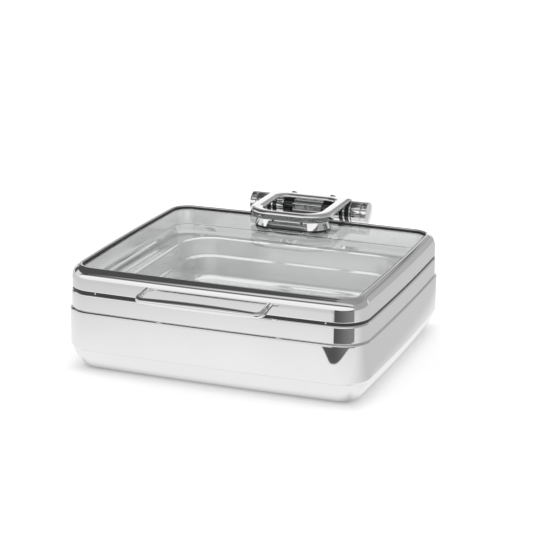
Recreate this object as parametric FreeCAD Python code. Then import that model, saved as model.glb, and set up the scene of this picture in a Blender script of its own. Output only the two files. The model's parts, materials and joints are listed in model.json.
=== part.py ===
import FreeCAD, Part
import math
import os
from FreeCAD import Vector

# Chafing dish for a two-thirds food pan: a water pan that stands flat on its heating plate, a rim frame
# that carries the food pan, and a glazed lid on a friction hinge behind it. Millimetres, +X to the right
# along the front, +Y to the hinge, +Z up. The origin is the middle of the flat face it stands on.

# Body outline, seen from above
body_length = 440.0          # across the front
body_width = 392.5           # front to rear
corner_radius = 42.0
side_bow = 2.5               # how far each side bulges between its corners
sheet = 1.3                  # steel of the water pan and the rim frame

# Water pan
plate_height = 2.0           # heating plate under the pan
plate_diameter = 240.0
bottom_curve = 30.0
crease_height = 33.6
crease_step = 1.8            # the bowl is drawn in below the crease
crease_soft = 1.8            # height over which it is drawn in
shoulder_height = 88.2
shoulder_curve = 3.0
shoulder_flange = 9.0        # turned in to carry the rim frame
floor_inset = 36.0           # where the curve has run out into the flat floor

# Rim frame
rim_inset = 2.6
rim_rise = 25.6              # from the water pan's shoulder to its own top
rim_curve = 4.5
rim_land = 10.4              # flat top between the curves
deck_drop = 7.6
deck_step = 2.0              # the inner wall leans in by this much
deck_lap = 5.0               # width of deck swept with the outline
ledge_drop = 3.8             # from the deck to the seat of the food pan
ledge_width = 10.0
pan_clearance = 1.5          # round the food pan's flange

# Food pan, two-thirds gastronorm size
pan_length = 354.0
pan_width = 325.0
pan_sheet = 0.9
pan_flange = 12.0
pan_flange_corner = 30.0
pan_corner = 45.0
pan_lip = 3.6                # turned-down edge that stands on the ledge
pan_depth = 63.0
pan_draft = 2.2
pan_step = 4.3               # stacking shoulder
pan_step_soft = 2.4          # height over which it steps in
pan_step_depth = 27.6        # below the flange
pan_floor_curve = 14.0
pan_floor_inset = 30.0
pan_seat_gap = 0.1

# Lid
lid_gap = 2.4                # above the rim
lid_inset = 3.6
lid_rise = 31.4              # from its lower edge to its top
lid_sheet = 1.5
lid_curve = 11.0
lip_inset = 17.6             # inner edge of the frame
lip_drop = 2.0
glass_thickness = 4.0
glass_seat = 1.0             # rubber between the frame's lip and the glass
glass_inset = 13.5
gasket_inset = 12.0
gasket_proud = 0.8           # beyond the frame's inner edge
gasket_depth = 8.5
gasket_cover = 0.1           # under the frame's lip
bumper_diameter = 8.0
bumper_from_side = 55.0
bumper_clearance = 0.3
bumper_inset = 8.0

# Handle
handle_reach = 33.4          # from the lid's front to the bar's axis
handle_half = 88.0           # middle of each arm from the centre
handle_rise = 13.8           # roots above the lid's lower edge
handle_tilt = 7.0            # degrees, the bar hangs below its roots
handle_end_diameter = 7.2
handle_middle_diameter = 10.4
handle_bend = 9.0
handle_screw = 4.0
handle_screw_depth = 12.0

# Hinge barrel
axis_behind = 20.8           # behind the middle of the rear side
axis_rise = 5.4              # above the top of the lid
shaft_diameter = 8.0
shaft_end = 97.0
running_gap = 0.05           # radial, between the shaft and what turns on it
side_gap = 0.3               # between parts that turn against each other
block_half = 23.0
block_radius = 15.2
block_front = 18.0           # flat face ahead of the axis
block_top = 9.5
block_bottom = 13.0
knuckle_radius = 15.9
knuckle_end = 39.3
collar_end = 50.0
sleeve_radius = 15.0
ring_radius = 15.5
first_sleeve = 6.8
second_sleeve = 7.5
ring_width = 3.0
groove_width = 1.5
groove_radius = 14.0
end_sleeve_length = 16.0
end_cap_length = 10.5
grub_diameter = 4.0
grub_depth = 0.8             # below the cap's surface
grub_angle = 135.0           # up and to the front, seen from the right

# Bracket that carries the hinge on the rim frame
bracket_half = 52.0
bracket_plate = 4.0
bracket_bottom_margin = 3.3  # above the water pan's shoulder
bracket_top_margin = 2.8     # below the rim's top
bracket_corner = 6.0
bracket_bite = 1.0           # of the neck into its plate
neck_half = 20.0
neck_rear = 7.0              # behind the axis
neck_front = 16.0            # ahead of the axis
neck_drop = 28.0             # from the axis to the bend in the neck's rear
neck_toe = 7.0               # depth of the neck at its foot
neck_nose = 14.0             # depth of the neck under the block
neck_curve = 10.0
bracket_screw = 5.0
bracket_screw_x = 42.0
bracket_screw_rise = 5.0     # in from the plate's top and bottom
backing_thickness = 3.0
backing_margin = 2.0         # shorter than the bracket at each end
block_screw_x = 12.0
block_screw_length = 17.0
block_screw_bite = 7.0

# Yoke over the glass
yoke_half = 64.0
yoke_reach = 117.0           # ahead of the axis
yoke_front_curve = 36.0
yoke_depth = 12.7            # over the mount
arm_depth = 6.0
yoke_skin = 4.1              # over the barrel
step_reach = 40.0            # the deep part, from the front
step_run = 7.0
step_curve = 4.0
yoke_rear_angle = 35.0       # degrees above the horizontal
loop_half = 45.0
loop_bar = 12.5              # metal in front of the loop
loop_rear_reach = 10.0       # ahead of the axis
loop_front_curve = 25.0
loop_rear_curve = 14.0
yoke_edge = 4.0
yoke_screw = 5.0
yoke_screw_x = 31.0
yoke_screw_angle = 53.0
yoke_screw_bite = 8.0

# Mount under the yoke, clamped through the glass
shim_thickness = 0.6
shim_inset = 1.2
mount_gasket_thickness = 2.2
mount_inset = 1.5
mount_edge = 2.5
mount_screw = 5.0
mount_screw_clearance = 1.0
mount_screw_margin = 7.0     # behind the yoke's front
mount_screw_x = 24.0
mount_screw_rear_margin = 6.0  # ahead of the deep part's end
mount_screw_side = 54.0
mount_screw_bite = 6.0
clamp_thickness = 3.0

screw_head_ratio = 1.8       # of the screw's diameter, across
screw_head_height = 0.6
screw_head_round = 0.27
head_clearance = 1.0

# Heights and depths that follow from the sizes above
rim_height = shoulder_height + rim_rise
deck_height = rim_height - deck_drop
ledge_height = deck_height - ledge_drop
lid_bottom = rim_height + lid_gap
lid_height = lid_bottom + lid_rise
glass_top = lid_height - lip_drop - glass_seat
glass_bottom = glass_top - glass_thickness
gasket_top = lid_height - lip_drop - gasket_cover
handle_height = lid_bottom + handle_rise
axis_y = body_width / 2 + axis_behind
axis_height = lid_height + axis_rise
yoke_roof = axis_height + knuckle_radius + yoke_skin
yoke_underside = yoke_roof - yoke_depth
arm_underside = yoke_roof - arm_depth
yoke_front = axis_y - yoke_reach
step_start = yoke_front + step_reach
loop_front = yoke_front + loop_bar
loop_rear = axis_y - loop_rear_reach
mount_base = glass_top + mount_gasket_thickness
bracket_bottom = shoulder_height + bracket_bottom_margin
bracket_top = rim_height - bracket_top_margin
beyond = 400.0               # past every face, for cutting right through


# Outlines and profiles

def rounded_path(points):
    # Each point is (u, v) or (u, v, radius). Gives straight runs and arcs, closed.
    corners = []
    for index, point in enumerate(points):
        before = points[index - 1]
        after = points[(index + 1) % len(points)]
        radius = point[2] if len(point) == 3 else 0.0
        back = (before[0] - point[0], before[1] - point[1])
        ahead = (after[0] - point[0], after[1] - point[1])
        back_length = math.hypot(*back)
        ahead_length = math.hypot(*ahead)
        back = (back[0] / back_length, back[1] / back_length)
        ahead = (ahead[0] / ahead_length, ahead[1] / ahead_length)
        half = math.acos(max(-1.0, min(1.0, back[0] * ahead[0] + back[1] * ahead[1]))) / 2
        if radius == 0.0 or half > math.radians(89.9):
            corners.append((point[:2], None, point[:2]))
            continue
        run = radius / math.tan(half)
        bisector = (back[0] + ahead[0], back[1] + ahead[1])
        bisector_length = math.hypot(*bisector)
        reach = radius / math.sin(half) - radius
        entry = (point[0] + back[0] * run, point[1] + back[1] * run)
        leave = (point[0] + ahead[0] * run, point[1] + ahead[1] * run)
        middle = (point[0] + bisector[0] / bisector_length * reach,
                  point[1] + bisector[1] / bisector_length * reach)
        corners.append((entry, middle, leave))
    return corners


def path_wire(points, place):
    corners = rounded_path(points)
    edges = []
    for index, (entry, middle, leave) in enumerate(corners):
        if middle:
            edges.append(Part.Arc(place(*entry), place(*middle), place(*leave)).toShape())
        start = place(*leave)
        end = place(*corners[(index + 1) % len(corners)][0])
        if start.distanceToPoint(end) > 1e-6:
            edges.append(Part.LineSegment(start, end).toShape())
    return Part.Wire(Part.__sortEdges__(edges))


def flat_solid(points, low, high):
    # A path in plan, drawn out from one height to another.
    wire = path_wire(points, lambda x, y: Vector(x, y, low))
    return Part.Face(wire).extrude(Vector(0, 0, high - low))


def side_solid(points, half):
    # A path of (y, z), drawn out across the middle by half each way.
    wire = path_wire(points, lambda y, z: Vector(-half, y, z))
    return Part.Face(wire).extrude(Vector(2 * half, 0, 0))


def bowed_outline(length, width, corner, bow):
    # Four long arcs for the sides, joined by four tangent corner arcs, anticlockwise from the front.
    half_x, half_y = length / 2, width / 2
    front_radius = ((half_x - corner) ** 2 + bow ** 2) / (2 * bow)
    side_radius = ((half_y - corner) ** 2 + bow ** 2) / (2 * bow)
    front = (0.0, -half_y + front_radius)
    right = (half_x - side_radius, 0.0)
    reach_front = front_radius - corner
    reach_right = side_radius - corner
    span_x, span_y = right[0] - front[0], right[1] - front[1]
    span = math.hypot(span_x, span_y)
    along = (reach_front ** 2 - reach_right ** 2 + span ** 2) / (2 * span)
    off = math.sqrt(reach_front ** 2 - along ** 2)
    corner_x = front[0] + (along * span_x - off * span_y) / span
    corner_y = front[1] + (along * span_y + off * span_x) / span
    first = math.atan2(corner_y - front[1], corner_x - front[0])
    second = math.atan2(corner_y - right[1], corner_x - right[0])
    turn = math.pi
    return [(front[0], front[1], front_radius, -turn - first, first),
            (corner_x, corner_y, corner, first, second),
            (right[0], right[1], side_radius, second, -second),
            (corner_x, -corner_y, corner, -second, -first),
            (front[0], -front[1], front_radius, -first, turn + first),
            (-corner_x, -corner_y, corner, turn + first, turn + second),
            (-right[0], right[1], side_radius, turn + second, turn - second),
            (-corner_x, corner_y, corner, turn - second, turn - first)]


def straight_outline(length, width, corner):
    # A rounded rectangle as corner arcs, with straight runs between them.
    half_x, half_y = length / 2 - corner, width / 2 - corner
    quarter = math.pi / 2
    return [(half_x, -half_y, corner, -quarter, 0.0),
            (half_x, half_y, corner, 0.0, quarter),
            (-half_x, half_y, corner, quarter, 2 * quarter),
            (-half_x, -half_y, corner, 2 * quarter, 3 * quarter)]


def arc_point(arc, angle, inset, z):
    return Vector(arc[0] + (arc[2] - inset) * math.cos(angle), arc[1] + (arc[2] - inset) * math.sin(angle), z)


def outline_wire(outline, inset, z):
    edges = []
    for index, arc in enumerate(outline):
        middle = (arc[3] + arc[4]) / 2
        start, half, end = (arc_point(arc, angle, inset, z) for angle in (arc[3], middle, arc[4]))
        edges.append(Part.Arc(start, half, end).toShape())
        following = outline[(index + 1) % len(outline)]
        onward = arc_point(following, following[3], inset, z)
        if end.distanceToPoint(onward) > 1e-4:
            edges.append(Part.LineSegment(end, onward).toShape())
    return Part.Wire(Part.__sortEdges__(edges))


def prism(outline, inset, low, high):
    return Part.Face(outline_wire(outline, inset, low)).extrude(Vector(0, 0, high - low))


def sweep(outline, profile):
    # A profile of (inset, z) carried once round the outline.
    pieces = []
    for index, arc in enumerate(outline):
        wire = path_wire(profile, lambda inset, z: arc_point(arc, arc[3], inset, z))
        degrees = math.degrees(arc[4] - arc[3])
        pieces.append(Part.Face(wire).revolve(Vector(arc[0], arc[1], 0), Vector(0, 0, 1), degrees))
        following = outline[(index + 1) % len(outline)]
        end = arc_point(arc, arc[4], 0.0, 0.0)
        onward = arc_point(following, following[3], 0.0, 0.0)
        if end.distanceToPoint(onward) > 1e-4:
            wire = path_wire(profile, lambda inset, z: arc_point(arc, arc[4], inset, z))
            pieces.append(Part.Face(wire).extrude(onward - end))
    return pieces[0].multiFuse(pieces[1:]).removeSplitter()


def rod(start, end, diameter):
    # A round bar between two points along the hinge axis or any other line.
    return Part.makeCylinder(diameter / 2, start.distanceToPoint(end), start, end - start)


def barrel(low, high, radius, bore):
    start = Vector(low, axis_y, axis_height)
    end = Vector(high, axis_y, axis_height)
    return rod(start, end, 2 * radius).cut(rod(start - Vector(1, 0, 0), end + Vector(1, 0, 0), bore))


def mirrored(shape):
    return shape.mirror(Vector(0, 0, 0), Vector(1, 0, 0))


def screw(tip, seat, diameter):
    # Shank from tip to seat, with a low round head beyond the seat.
    way = (seat - tip).normalize()
    height = diameter * screw_head_height
    head = rod(seat, seat + way * height, diameter * screw_head_ratio)
    crown = [edge for edge in head.Edges if edge.Closed and (edge.CenterOfMass - seat).dot(way) > height / 2]
    return rod(tip, seat, diameter).fuse(head.makeFillet(diameter * screw_head_round, crown)).removeSplitter()


# Water pan and rim

def base_shell():
    inner_floor = plate_height + sheet
    profile = [(floor_inset, plate_height),
               (crease_step, plate_height, bottom_curve),
               (crease_step, crease_height - crease_soft / 2),
               (0.0, crease_height + crease_soft / 2, 1.0),
               (0.0, shoulder_height, shoulder_curve),
               (shoulder_flange, shoulder_height),
               (shoulder_flange, shoulder_height - sheet),
               (sheet, shoulder_height - sheet, shoulder_curve - sheet),
               (sheet, crease_height + crease_soft / 2),
               (crease_step + sheet, crease_height - crease_soft / 2),
               (crease_step + sheet, inner_floor, bottom_curve - sheet),
               (floor_inset, inner_floor)]
    return sweep(master, profile).fuse(prism(master, floor_inset, plate_height, inner_floor)).removeSplitter()


def induction_plate():
    plate = Part.makeCylinder(plate_diameter / 2, plate_height)
    rim = [edge for edge in plate.Edges if edge.Closed and edge.CenterOfMass.z < plate_height / 2]
    return plate.makeChamfer(plate_height / 4, rim)


def rim_frame():
    land = rim_inset + rim_land
    inner = land + deck_step
    profile = [(rim_inset, shoulder_height, 1.0),
               (rim_inset, rim_height, rim_curve),
               (land, rim_height, 3.0),
               (inner, deck_height),
               (inner + deck_lap, deck_height),
               (inner + deck_lap, deck_height - sheet),
               (inner - sheet, deck_height - sheet),
               (land - sheet, rim_height - sheet, 1.7),
               (rim_inset + sheet, rim_height - sheet, rim_curve - sheet),
               (rim_inset + sheet, shoulder_height)]
    recess = straight_outline(pan_length + 2 * pan_clearance, pan_width + 2 * pan_clearance,
                              pan_flange_corner + pan_clearance)
    opening_length = pan_length + 2 * pan_clearance - 2 * ledge_width
    opening_width = pan_width + 2 * pan_clearance - 2 * ledge_width
    opening = straight_outline(opening_length, opening_width, pan_corner + 2.5)
    deck = prism(master, inner + deck_lap / 2, deck_height - sheet, deck_height)
    tray = prism(recess, -sheet, ledge_height - sheet, deck_height)
    frame = sweep(master, profile).fuse([deck, tray]).removeSplitter()
    frame = frame.cut(prism(recess, 0.0, ledge_height, beyond)).cut(prism(opening, 0.0, 0.0, beyond))
    for hole in bracket_holes(bracket_screw):
        frame = frame.cut(hole)
    return frame


def food_pan():
    flange_top = ledge_height + pan_lip + pan_seat_gap
    floor = flange_top - pan_depth
    step_top = flange_top - pan_step_depth + pan_step_soft / 2
    step_foot = step_top - pan_step_soft
    well = straight_outline(pan_length - 2 * pan_flange, pan_width - 2 * pan_flange, pan_corner)
    edge = straight_outline(pan_length, pan_width, pan_flange_corner)
    waist = pan_draft + pan_step
    profile = [(-pan_flange / 2, flange_top),
               (0.0, flange_top, 4.0),
               (pan_draft, step_top, 3.0),
               (waist, step_foot, 3.0),
               (waist + pan_draft, floor, pan_floor_curve),
               (pan_floor_inset, floor),
               (pan_floor_inset, floor - pan_sheet),
               (waist + pan_draft - pan_sheet, floor - pan_sheet, pan_floor_curve + pan_sheet),
               (waist - pan_sheet, step_foot - pan_sheet, 2.1),
               (pan_draft - pan_sheet, step_top - pan_sheet, 3.9),
               (-pan_sheet, flange_top - pan_sheet, 3.1),
               (-pan_flange / 2, flange_top - pan_sheet)]
    brim = prism(edge, 0.0, flange_top - pan_sheet, flange_top)
    brim = brim.cut(prism(well, -pan_flange / 2 + 1.0, 0.0, beyond))
    lip = prism(edge, 0.0, flange_top - pan_lip, flange_top)
    lip = lip.cut(prism(edge, pan_sheet, 0.0, beyond))
    floor_plate = prism(well, pan_floor_inset, floor - pan_sheet, floor)
    return sweep(well, profile).fuse([brim, lip, floor_plate]).removeSplitter()


# Lid

def lid_frame():
    profile = [(lid_inset, lid_bottom),
               (lid_inset, lid_height, lid_curve),
               (lip_inset, lid_height, 1.4),
               (lip_inset, lid_height - lip_drop),
               (lip_inset - lid_sheet, lid_height - lip_drop),
               (lip_inset - lid_sheet, lid_height - lid_sheet),
               (lid_inset + lid_sheet, lid_height - lid_sheet, lid_curve - lid_sheet),
               (lid_inset + lid_sheet, lid_bottom)]
    frame = sweep(master, profile)
    for sign in (-1, 1):
        frame = frame.cut(handle_bore(sign))
    return frame


def lid_inner_ring():
    inner = lip_inset + gasket_proud
    profile = [(lid_inset + lid_sheet, lid_bottom),
               (inner, lid_bottom, 1.6),
               (inner, gasket_top - gasket_depth),
               (inner - lid_sheet, gasket_top - gasket_depth),
               (inner - lid_sheet, lid_bottom + lid_sheet),
               (lid_inset + lid_sheet, lid_bottom + lid_sheet)]
    return sweep(master, profile)


def glass_blank():
    return prism(master, glass_inset, glass_bottom, glass_top)


def glass_window():
    return with_mount_holes(glass_blank(), mount_screw + 2 * mount_screw_clearance)


def glass_gasket():
    inner = lip_inset + gasket_proud
    profile = [(gasket_inset, gasket_top - gasket_depth),
               (inner, gasket_top - gasket_depth),
               (inner, gasket_top),
               (gasket_inset, gasket_top)]
    return sweep(master, profile).cut(glass_blank())


def lid_bumpers():
    pads = []
    bumper_reach = body_length / 2 - bumper_from_side
    bulge = side_bow * (bumper_reach / (body_length / 2 - corner_radius)) ** 2
    for sign_x in (-1, 1):
        for sign_y in (-1, 1):
            y = sign_y * (body_width / 2 - bulge - bumper_inset)
            base = Vector(sign_x * bumper_reach, y, rim_height + bumper_clearance)
            pads.append(Part.makeCylinder(bumper_diameter / 2, lid_gap - bumper_clearance, base))
    return Part.makeCompound(pads)


# Handle, modelled level and then tilted about its roots

def lid_front():
    return -(body_width / 2 - lid_inset)


def tilted(shape):
    shape = shape.copy()
    shape.rotate(Vector(0, lid_front(), handle_height), Vector(1, 0, 0), handle_tilt)
    return shape


def handle():
    bar_y = lid_front() - handle_reach
    bar_half = handle_half - handle_bend
    end, middle = handle_end_diameter / 2, handle_middle_diameter / 2
    bulge = Part.Arc(Vector(-bar_half, bar_y + end, handle_height), Vector(0, bar_y + middle, handle_height),
                     Vector(bar_half, bar_y + end, handle_height)).toShape()
    base = [Part.LineSegment(Vector(bar_half, bar_y + end, handle_height),
                             Vector(bar_half, bar_y, handle_height)).toShape(),
            Part.LineSegment(Vector(bar_half, bar_y, handle_height),
                             Vector(-bar_half, bar_y, handle_height)).toShape(),
            Part.LineSegment(Vector(-bar_half, bar_y, handle_height),
                             Vector(-bar_half, bar_y + end, handle_height)).toShape()]
    half_section = Part.Face(Part.Wire([bulge] + base))
    bar = half_section.revolve(Vector(0, bar_y, handle_height), Vector(1, 0, 0), 360)
    pieces = []
    for sign in (-1, 1):
        pivot = Vector(sign * bar_half, bar_y + handle_bend, handle_height)
        start = Vector(sign * bar_half, bar_y, handle_height)
        section = Part.Face(Part.Wire(Part.makeCircle(end, start, Vector(1, 0, 0))))
        pieces.append(section.revolve(pivot, Vector(0, 0, 1), sign * 90))
        root = Vector(sign * handle_half, lid_front() + 4.0, handle_height)
        pieces.append(rod(Vector(sign * handle_half, bar_y + handle_bend, handle_height), root, 2 * end))
    shape = tilted(bar.multiFuse(pieces).removeSplitter())
    shape = shape.cut(prism(master, lid_inset, 0.0, beyond))
    for sign in (-1, 1):
        shape = shape.cut(handle_bore(sign))
    return shape


def handle_bore(sign):
    y = lid_front()
    start = Vector(sign * handle_half, y - handle_screw_depth, handle_height)
    return tilted(rod(start, Vector(sign * handle_half, y + 6.0, handle_height), handle_screw))


def handle_screws():
    screws = []
    for sign in (-1, 1):
        y = lid_front()
        tip = Vector(sign * handle_half, y - handle_screw_depth, handle_height)
        seat = Vector(sign * handle_half, y + lid_sheet + 1.0, handle_height)
        screws.append(tilted(screw(tip, seat, handle_screw)))
    return Part.makeCompound(screws)


# Hinge barrel, right half; the left one is its mirror image

def stack():
    # Where each fixed part on the shaft starts, from the turning collar outwards.
    places = {"first": collar_end + side_gap}
    places["first_ring"] = places["first"] + first_sleeve
    places["second"] = places["first_ring"] + ring_width
    places["second_ring"] = places["second"] + second_sleeve
    places["groove"] = places["second_ring"] + ring_width
    places["sleeve"] = places["groove"] + groove_width
    places["cap_groove"] = places["sleeve"] + end_sleeve_length
    places["cap"] = places["cap_groove"] + groove_width
    places["end"] = places["cap"] + end_cap_length
    return places


def softened(shape, radius):
    # Rounds the outer circles of a part of the barrel.
    reach = max(edge.Curve.Radius for edge in shape.Edges if edge.Closed)
    outer = [edge for edge in shape.Edges if edge.Closed and edge.Curve.Radius > reach - 0.01]
    return shape.makeFillet(radius, outer)


def knuckle():
    bore = shaft_diameter + 2 * running_gap
    shape = barrel(block_half + side_gap, knuckle_end, knuckle_radius, bore)
    return shape.cut(yoke_screw_rod(1, yoke_screw))


def collar():
    bore = shaft_diameter + 2 * running_gap
    return barrel(knuckle_end, collar_end, knuckle_radius, bore)


def friction_sleeves():
    at = stack()
    return Part.makeCompound([barrel(at["first"], at["first_ring"], sleeve_radius, shaft_diameter),
                              barrel(at["second"], at["second_ring"], sleeve_radius, shaft_diameter),
                              barrel(at["groove"], at["sleeve"], groove_radius, shaft_diameter)])


def spacer_rings():
    at = stack()
    rings = [barrel(at[name], at[name] + ring_width, ring_radius, shaft_diameter)
             for name in ("first_ring", "second_ring")]
    return Part.makeCompound([softened(ring, 0.7) for ring in rings])


def end_sleeve():
    at = stack()
    body = softened(barrel(at["sleeve"], at["cap_groove"], ring_radius, shaft_diameter), 0.8)
    spigot = barrel(at["cap_groove"], at["cap"], groove_radius, shaft_diameter)
    return body.fuse(spigot).removeSplitter()


def grub_rod(start, end):
    at = stack()
    x = (at["cap"] + at["end"]) / 2
    angle = math.radians(grub_angle)
    way = Vector(0, math.cos(angle), math.sin(angle))
    centre = Vector(x, axis_y, axis_height)
    return rod(centre + way * start, centre + way * end, grub_diameter)


def end_cap():
    at = stack()
    low, high = (Vector(x, axis_y, axis_height) for x in (at["cap"], at["end"]))
    cap = softened(rod(low, high, 2 * ring_radius), 1.2)
    cap = cap.cut(rod(low - Vector(1, 0, 0), Vector(shaft_end, axis_y, axis_height), shaft_diameter))
    return cap.cut(grub_rod(shaft_diameter / 2, ring_radius + 5.0))


def cap_screws():
    grub = grub_rod(shaft_diameter / 2, ring_radius - grub_depth)
    return Part.makeCompound([grub, mirrored(grub)])


def hinge_shaft():
    start, end = (Vector(x, axis_y, axis_height) for x in (-shaft_end, shaft_end))
    return rod(start, end, shaft_diameter)


def block_screw_rods(diameter, low, high):
    y = axis_y + (neck_rear - neck_front) / 2
    return [rod(Vector(sign * block_screw_x, y, low), Vector(sign * block_screw_x, y, high), diameter)
            for sign in (-1, 1)]


def block_seat():
    return axis_height - block_bottom


def hinge_block():
    round_part = rod(Vector(-block_half, axis_y, axis_height), Vector(block_half, axis_y, axis_height),
                     2 * block_radius)
    nose = side_solid([(axis_y - block_front, block_seat(), 2.0),
                       (axis_y - block_front, axis_height + block_top, 2.0),
                       (axis_y, axis_height + block_top),
                       (axis_y, block_seat())], block_half)
    below = Part.makeBox(2 * beyond, 2 * beyond, block_seat(), Vector(-beyond, 0, 0))
    block = round_part.fuse(nose).removeSplitter().cut(below).cut(hinge_shaft())
    for hole in block_screw_rods(bracket_screw, block_seat() - 1.0, block_seat() + block_screw_bite):
        block = block.cut(hole)
    return block


# Bracket

def bracket_holes(diameter):
    holes = []
    wall = body_width / 2 - rim_inset
    for x in (-bracket_screw_x, bracket_screw_x):
        for z in (bracket_bottom + bracket_screw_rise, bracket_top - bracket_screw_rise):
            start = Vector(x, wall - sheet - backing_thickness - 2.0, z)
            holes.append(rod(start, Vector(x, wall + bracket_plate, z), diameter))
    return holes


def wall_band(inner, outer, low, high, half):
    # A stretch of the rear wall's own curve, between two insets, with rounded ends.
    band = prism(master, outer, low, high).cut(prism(master, inner, 0.0, beyond))
    points = [(-half, low, bracket_corner), (half, low, bracket_corner),
              (half, high, bracket_corner), (-half, high, bracket_corner)]
    wire = path_wire(points, lambda x, z: Vector(x, body_width / 4, z))
    return band.common(Part.Face(wire).extrude(Vector(0, body_width, 0)))


def hinge_bracket():
    plate = wall_band(rim_inset, rim_inset - bracket_plate, bracket_bottom, bracket_top, bracket_half)
    face = body_width / 2 - rim_inset + bracket_plate - bracket_bite
    foot = bracket_bottom + bracket_bite
    neck = side_solid([(face, foot),
                       (face + neck_toe, foot, 4.0),
                       (axis_y + neck_rear, axis_height - neck_drop, neck_curve),
                       (axis_y + neck_rear, block_seat()),
                       (axis_y - neck_front, block_seat()),
                       (axis_y - neck_front, block_seat() - neck_nose, 3.0),
                       (face, bracket_top - bracket_bite)], neck_half)
    bracket = plate.fuse(neck).removeSplitter()
    for hole in bracket_holes(bracket_screw):
        bracket = bracket.cut(hole)
    seat = block_seat() + block_screw_bite - block_screw_length
    for hole in block_screw_rods(bracket_screw, seat - 1.0, block_seat() + 1.0):
        bracket = bracket.cut(hole)
    for hole in block_screw_rods(bracket_screw * screw_head_ratio + head_clearance, 0.0, seat):
        bracket = bracket.cut(hole)
    return bracket


def backing_plate():
    inner = rim_inset + sheet
    plate = wall_band(inner + backing_thickness, inner, bracket_bottom, rim_height - rim_curve - side_gap,
                      bracket_half - backing_margin)
    for hole in bracket_holes(bracket_screw):
        plate = plate.cut(hole)
    return plate


def bracket_screws():
    screws = []
    wall = body_width / 2 - rim_inset
    for x in (-bracket_screw_x, bracket_screw_x):
        for z in (bracket_bottom + bracket_screw_rise, bracket_top - bracket_screw_rise):
            tip = Vector(x, wall - sheet - backing_thickness - 1.0, z)
            screws.append(screw(tip, Vector(x, wall + bracket_plate, z), bracket_screw))
    return Part.makeCompound(screws)


def block_screws():
    y = axis_y + (neck_rear - neck_front) / 2
    tip_height = block_seat() + block_screw_bite
    return Part.makeCompound([screw(Vector(sign * block_screw_x, y, tip_height),
                                    Vector(sign * block_screw_x, y, tip_height - block_screw_length),
                                    bracket_screw) for sign in (-1, 1)])


# Yoke and its mount on the glass

def yoke_plan(inset, rear):
    return [(-yoke_half + inset, yoke_front + inset, yoke_front_curve - inset),
            (yoke_half - inset, yoke_front + inset, yoke_front_curve - inset),
            (yoke_half - inset, rear), (-yoke_half + inset, rear)]


def loop_plan(inset, rear):
    return [(-loop_half - inset, loop_front - inset, loop_front_curve + inset),
            (loop_half + inset, loop_front - inset, loop_front_curve + inset),
            (loop_half + inset, rear), (-loop_half - inset, rear)]


def around_axis(radius, degrees):
    angle = math.radians(degrees)
    return Vector(0, axis_y + radius * math.cos(angle), axis_height + radius * math.sin(angle))


def yoke_screw_rod(sign, diameter):
    shift = Vector(sign * yoke_screw_x, 0, 0)
    start = around_axis(knuckle_radius - yoke_screw_bite, yoke_screw_angle) + shift
    return rod(start, around_axis(knuckle_radius + 20.0, yoke_screw_angle) + shift, diameter)


def yoke_side():
    # Side view: deep over the mount, thin arms behind it, and a skin wrapped over the barrel.
    inner, outer = knuckle_radius, knuckle_radius + yoke_skin
    step_end = step_start + step_run
    meet = axis_y - math.sqrt(inner ** 2 - (arm_underside - axis_height) ** 2)
    front = yoke_front - 1.0
    corners = rounded_path([(front, yoke_roof), (front, yoke_underside),
                            (step_start, yoke_underside, step_curve), (step_end, arm_underside, step_curve),
                            (meet, arm_underside), (meet, yoke_roof)])
    edges = []
    spots = [Vector(0, y, z) for y, z in (corners[0][0], corners[1][0], corners[2][0])]
    edges.append(Part.LineSegment(spots[0], spots[1]).toShape())
    edges.append(Part.LineSegment(spots[1], spots[2]).toShape())
    for index in (2, 3):
        entry, middle, leave = (Vector(0, y, z) for y, z in corners[index])
        edges.append(Part.Arc(entry, middle, leave).toShape())
        onward = corners[index + 1][0]
        edges.append(Part.LineSegment(leave, Vector(0, *onward)).toShape())
    start_angle = math.degrees(math.acos((meet - axis_y) / inner))
    middle_angle = (start_angle + yoke_rear_angle) / 2
    edges.append(Part.Arc(around_axis(inner, start_angle), around_axis(inner, middle_angle),
                          around_axis(inner, yoke_rear_angle)).toShape())
    edges.append(Part.LineSegment(around_axis(inner, yoke_rear_angle),
                                  around_axis(outer, yoke_rear_angle)).toShape())
    edges.append(Part.Arc(around_axis(outer, yoke_rear_angle), around_axis(outer, (90 + yoke_rear_angle) / 2),
                          around_axis(outer, 90)).toShape())
    edges.append(Part.LineSegment(around_axis(outer, 90), Vector(0, front, yoke_roof)).toShape())
    face = Part.Face(Part.Wire(edges))
    face.translate(Vector(-yoke_half - 5.0, 0, 0))
    return face.extrude(Vector(2 * yoke_half + 10.0, 0, 0))


def on_roof(point):
    outer = knuckle_radius + yoke_skin
    if point.y <= axis_y:
        return abs(point.z - axis_height - outer) < 0.01
    return abs(math.hypot(point.y - axis_y, point.z - axis_height) - outer) < 0.01


def roof_edges(shape):
    # Edges of the top skin, without the two that run straight across it.
    edges = []
    for edge in shape.Edges:
        first, last = edge.ParameterRange
        points = [edge.valueAt(first + (last - first) * share) for share in (0.0, 0.5, 1.0)]
        across = abs(points[0].y - points[2].y) < 0.01 and points[0].y > axis_y - 1.0
        if all(on_roof(point) for point in points) and not across:
            edges.append(edge)
    return edges


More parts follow.
